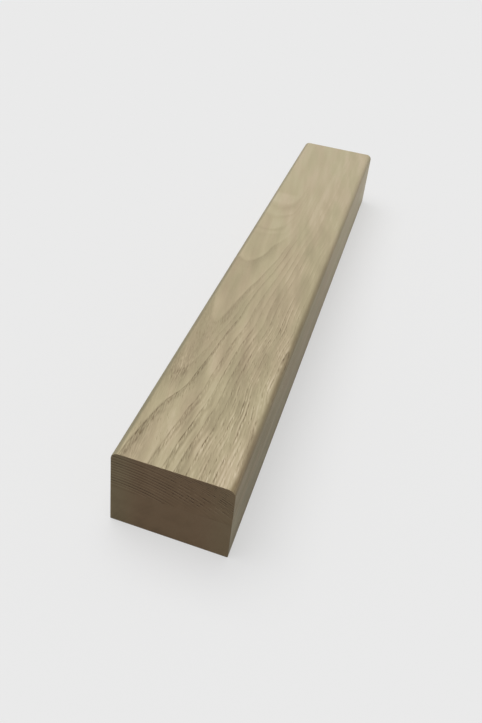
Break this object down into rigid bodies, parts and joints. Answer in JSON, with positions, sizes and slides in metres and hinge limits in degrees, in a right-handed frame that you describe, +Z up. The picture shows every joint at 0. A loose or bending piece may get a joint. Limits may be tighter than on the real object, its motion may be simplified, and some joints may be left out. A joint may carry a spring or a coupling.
{
  "type": "wooden handrail",
  "caption": "Straight rectangular wooden handrail with rounded upper edges, glued up from an upper and a lower board.",
  "frame": {"origin": "middle of the underside", "axes": "+Y along the rail, away from the end that the picture shows; +Z up, from the flat underside to the rounded grip side; +X to the right seen from the near end"},
  "size_m": [0.06, 0.4, 0.045],
  "materials": {
    "upper_board_wood": "planed and sanded, unfinished, flat-sawn figure",
    "lower_board_wood": "planed and sanded, unfinished, straight figure"
  },
  "bodies": {
    "root": {"upper_board": "upper_board_wood", "lower_board": "lower_board_wood"}
  },
  "joints": []
}
